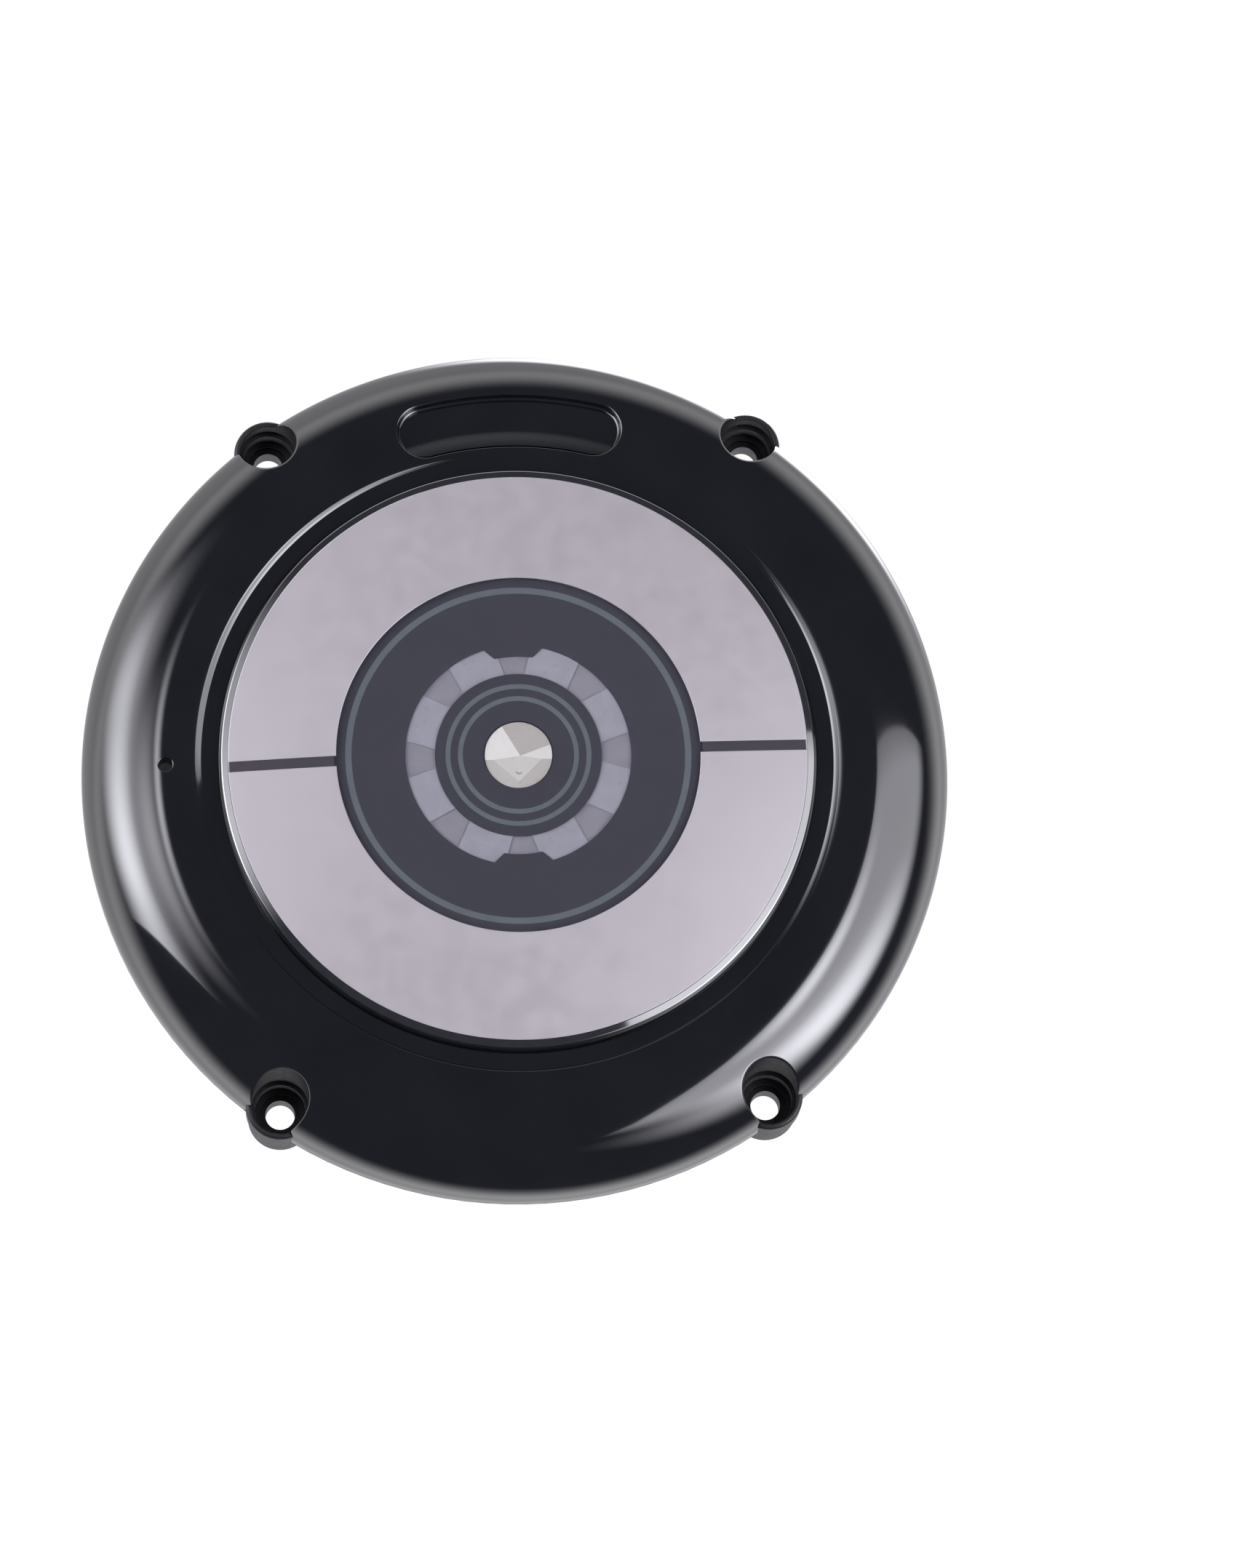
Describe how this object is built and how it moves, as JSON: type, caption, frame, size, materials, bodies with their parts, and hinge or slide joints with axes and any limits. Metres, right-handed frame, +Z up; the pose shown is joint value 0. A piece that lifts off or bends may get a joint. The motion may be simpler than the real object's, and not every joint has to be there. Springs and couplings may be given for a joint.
{
  "type": "smartwatch back cover",
  "caption": "Round smartwatch back cover with lobed screw bosses, a domed sensor glass with split electrodes, and an inner side with gasket, bracket, contacts and vent boot.",
  "frame": {"origin": "centre of the four-screw pattern, on the mating plane where the shell's rim meets the watch case", "axes": "+Z up to 12 o'clock, -Y out of the cover's outer face (the face that rests on the wrist), +Y into the watch, +X to 3 o'clock seen from outside"},
  "size_m": [0.042, 0.0077, 0.042],
  "materials": {
    "shell": "high gloss black",
    "gasket_rubber": "satin blue-grey",
    "window_glass": "polished, lightly smoked",
    "electrode_plating": "mirror plating, warm silver",
    "adhesive": "matte black",
    "mask_film": "dark grey print",
    "line_ink": "light grey print",
    "optic_plastic": "frosted translucent grey",
    "lens_plastic": "pearly, faceted",
    "barrier_plastic": "matte black",
    "diode_chip": "dark chip",
    "led_chip": "pale yellow phosphor",
    "board": "green solder resist",
    "coil_copper": "enamelled copper wire",
    "ferrite": "matte dark grey sheet",
    "pin_gold": "gold-plated spring pin",
    "bracket_plastic": "satin charcoal",
    "flex_film": "satin black film",
    "pad_gold": "gold plating",
    "connector_plastic": "matte black",
    "stake_plastic": "satin black",
    "boot_rubber": "pale translucent silicone",
    "membrane_film": "white porous film",
    "clip_plastic": "satin black"
  },
  "bodies": {
    "root": {"rear_shell": "shell", "gasket": "gasket_rubber", "cover_glass": "window_glass", "upper_electrode": "electrode_plating", "lower_electrode": "electrode_plating", "glass_adhesive": "adhesive", "window_mask": "mask_film", "centre_mask": "mask_film", "outer_line": "line_ink", "centre_lines": "line_ink", "optic_ring": "optic_plastic", "centre_lens": "lens_plastic", "outer_barrier": "barrier_plastic", "inner_barrier": "barrier_plastic", "photodiodes": "diode_chip", "sensor_leds": "led_chip", "sensor_board": "board", "charging_coil": "coil_copper", "ferrite_sheet": "ferrite", "electrode_pins": "pin_gold", "inner_bracket": "bracket_plastic", "flex_circuit": "flex_film", "contact_pads": "pad_gold", "board_connector": "connector_plastic", "heat_stakes": "stake_plastic", "vent_boot": "boot_rubber", "vent_membrane": "membrane_film", "boot_clip": "clip_plastic"}
  },
  "joints": []
}
